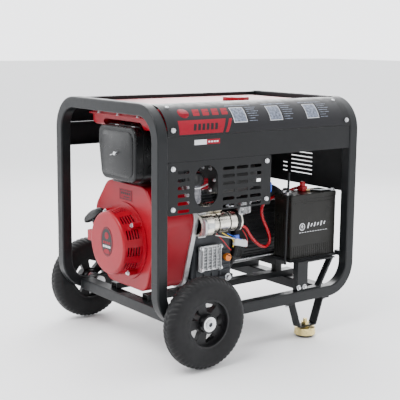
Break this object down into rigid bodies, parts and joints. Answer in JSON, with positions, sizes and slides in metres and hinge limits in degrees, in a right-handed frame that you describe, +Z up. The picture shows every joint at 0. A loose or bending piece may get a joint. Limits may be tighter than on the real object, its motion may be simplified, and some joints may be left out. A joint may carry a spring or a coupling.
{
  "type": "engine driven welder",
  "caption": "Open-frame diesel engine driven welder with bent-tube frame, fuel tank under side covers, recoil starter, battery, two wheels and two rubber feet.",
  "frame": {"origin": "on the floor, midway along the frame and midway between the wheels", "axes": "+X from the recoil starter end to the alternator end, +Y from the battery side to the control side, +Z up"},
  "size_m": [0.72, 0.658, 0.699],
  "materials": {
    "frame_paint": "satin black powder coat",
    "panel_paint": "satin black powder coat",
    "zinc_steel": "bright zinc plating",
    "bright_steel": "bright machined steel",
    "yellow_zinc": "yellow zinc plating",
    "gold_zinc": "pale gold zinc plating",
    "tyre_rubber": "matt",
    "rubber": "matt",
    "rim_plastic": "satin",
    "black_plastic": "satin moulded",
    "battery_plastic": "satin moulded",
    "orange_plastic": "moulded",
    "filter_paper": "pleated paper",
    "red_paint": "gloss red enamel",
    "cast_aluminium": "as cast",
    "cast_iron": "as cast",
    "muffler_black": "matt heat-proof black",
    "alternator_black": "satin black",
    "red_cable": "satin",
    "brass": "machined"
  },
  "bodies": {
    "chassis": {"adapter_flange": "alternator_black", "air_cleaner_box": "black_plastic", "alternator_housing": "alternator_black", "battery": "battery_plastic", "battery_cable": "red_cable", "battery_tray": "frame_paint", "bed_channels": "frame_paint", "control_box": "panel_paint", "crankcase": "cast_iron", "cross_tubes": "frame_paint", "cylinder": "cast_iron", "end_panel": "panel_paint", "engine_mounts": "rubber", "fan_shroud": "red_paint", "far_rail": "frame_paint", "far_tank_rail": "panel_paint", "far_top_cover": "panel_paint", "filter_element": "filter_paper", "foot_brackets": "frame_paint", "foot_cups": "yellow_zinc", "foot_pads": "rubber", "foot_studs": "yellow_zinc", "front_plate": "cast_aluminium", "fuel_tank": "red_paint", "left_hoop": "frame_paint", "muffler": "muffler_black", "near_rail": "frame_paint", "near_tank_rail": "panel_paint", "near_top_cover": "panel_paint", "panel_bolts": "zinc_steel", "recoil_housing": "red_paint", "right_hoop": "frame_paint", "rocker_cover": "cast_aluminium", "starter_motor": "gold_zinc", "stub_axles": "zinc_steel", "tank_straps": "frame_paint", "vent_panel": "panel_paint", "weld_terminals": "brass", "wheel_clips": "zinc_steel"},
    "near_wheel": {"near_tyre": "tyre_rubber", "near_rim": "rim_plastic", "near_bearings": "bright_steel"},
    "far_wheel": {"far_tyre": "tyre_rubber", "far_rim": "rim_plastic", "far_bearings": "bright_steel"},
    "rotor": {"flywheel": "cast_iron", "crankshaft": "bright_steel", "alternator_rotor": "cast_iron"},
    "recoil_grip": {"recoil_handle": "black_plastic"},
    "starter_pulley": {"recoil_pulley": "black_plastic"},
    "fuel_cap": {"fuel_cap": "red_paint"},
    "air_cleaner_cover": {"air_cleaner_cover": "black_plastic"},
    "air_cleaner_knob": {"air_cleaner_knob": "zinc_steel"},
    "dipstick": {"dipstick": "orange_plastic"},
    "right_socket_flap": {"right_socket_flap": "black_plastic"},
    "left_socket_flap": {"left_socket_flap": "black_plastic"},
    "current_knob": {"current_knob": "black_plastic"},
    "key_switch": {"key_switch": "bright_steel"},
    "breaker_toggle": {"breaker_toggle": "black_plastic"}
  },
  "joints": [
    {"name": "near_wheel_spin", "type": "hinge", "parent": "chassis", "child": "near_wheel", "pos_m": [-0.235, -0.301, 0.125], "axis": [0, 1, 0], "continuous": true},
    {"name": "far_wheel_spin", "type": "hinge", "parent": "chassis", "child": "far_wheel", "pos_m": [-0.235, 0.301, 0.125], "axis": [0, 1, 0], "continuous": true},
    {"name": "crank_spin", "type": "hinge", "parent": "chassis", "child": "rotor", "pos_m": [0, 0, 0.3], "axis": [1, 0, 0], "continuous": true},
    {"name": "recoil_pull", "type": "slide", "parent": "chassis", "child": "recoil_grip", "axis": [0, 0.454, 0.891], "range_m": [0, 0.1], "stiffness_N_per_m": 60},
    {"name": "pulley_turn", "type": "hinge", "parent": "chassis", "child": "starter_pulley", "pos_m": [-0.319, 0, 0.3], "axis": [1, 0, 0], "range_deg": [0, 75]},
    {"name": "fuel_cap_turn", "type": "hinge", "parent": "chassis", "child": "fuel_cap", "pos_m": [0.068, -0.048, 0.6904], "axis": [0, 0, 1], "range_deg": [0, 90]},
    {"name": "air_cleaner_cover_off", "type": "slide", "parent": "chassis", "child": "air_cleaner_cover", "axis": [-1, 0, 0], "range_m": [0, 0.12]},
    {"name": "air_cleaner_knob_turn", "type": "hinge", "parent": "air_cleaner_cover", "child": "air_cleaner_knob", "pos_m": [-0.33, -0.014, 0.552], "axis": [-1, 0, 0], "continuous": true},
    {"name": "dipstick_out", "type": "slide", "parent": "chassis", "child": "dipstick", "axis": [0, -1, 0], "range_m": [0, 0.09]},
    {"name": "right_flap_lift", "type": "hinge", "parent": "chassis", "child": "right_socket_flap", "pos_m": [0.267, 0.2805, 0.4475], "axis": [1, 0, 0], "range_deg": [0, 100], "stiffness_Nm_per_rad": 0.02, "springref_deg": -28.65},
    {"name": "left_flap_lift", "type": "hinge", "parent": "chassis", "child": "left_socket_flap", "pos_m": [0.191, 0.2805, 0.4475], "axis": [1, 0, 0], "range_deg": [0, 100], "stiffness_Nm_per_rad": 0.02, "springref_deg": -28.65},
    {"name": "current_knob_turn", "type": "hinge", "parent": "chassis", "child": "current_knob", "pos_m": [0.0916, 0.263, 0.4622], "axis": [0, 1, 0], "range_deg": [-135, 135]},
    {"name": "key_turn", "type": "hinge", "parent": "chassis", "child": "key_switch", "pos_m": [0.2022, 0.263, 0.503], "axis": [0, 1, 0], "range_deg": [0, 90]},
    {"name": "breaker_flip", "type": "hinge", "parent": "chassis", "child": "breaker_toggle", "pos_m": [0.15, 0.2685, 0.503], "axis": [1, 0, 0], "range_deg": [-15, 25]}
  ],
  "couplings": [
    {"joint": "pulley_turn", "follows": "recoil_pull", "rad_per_m": 12.195}
  ]
}
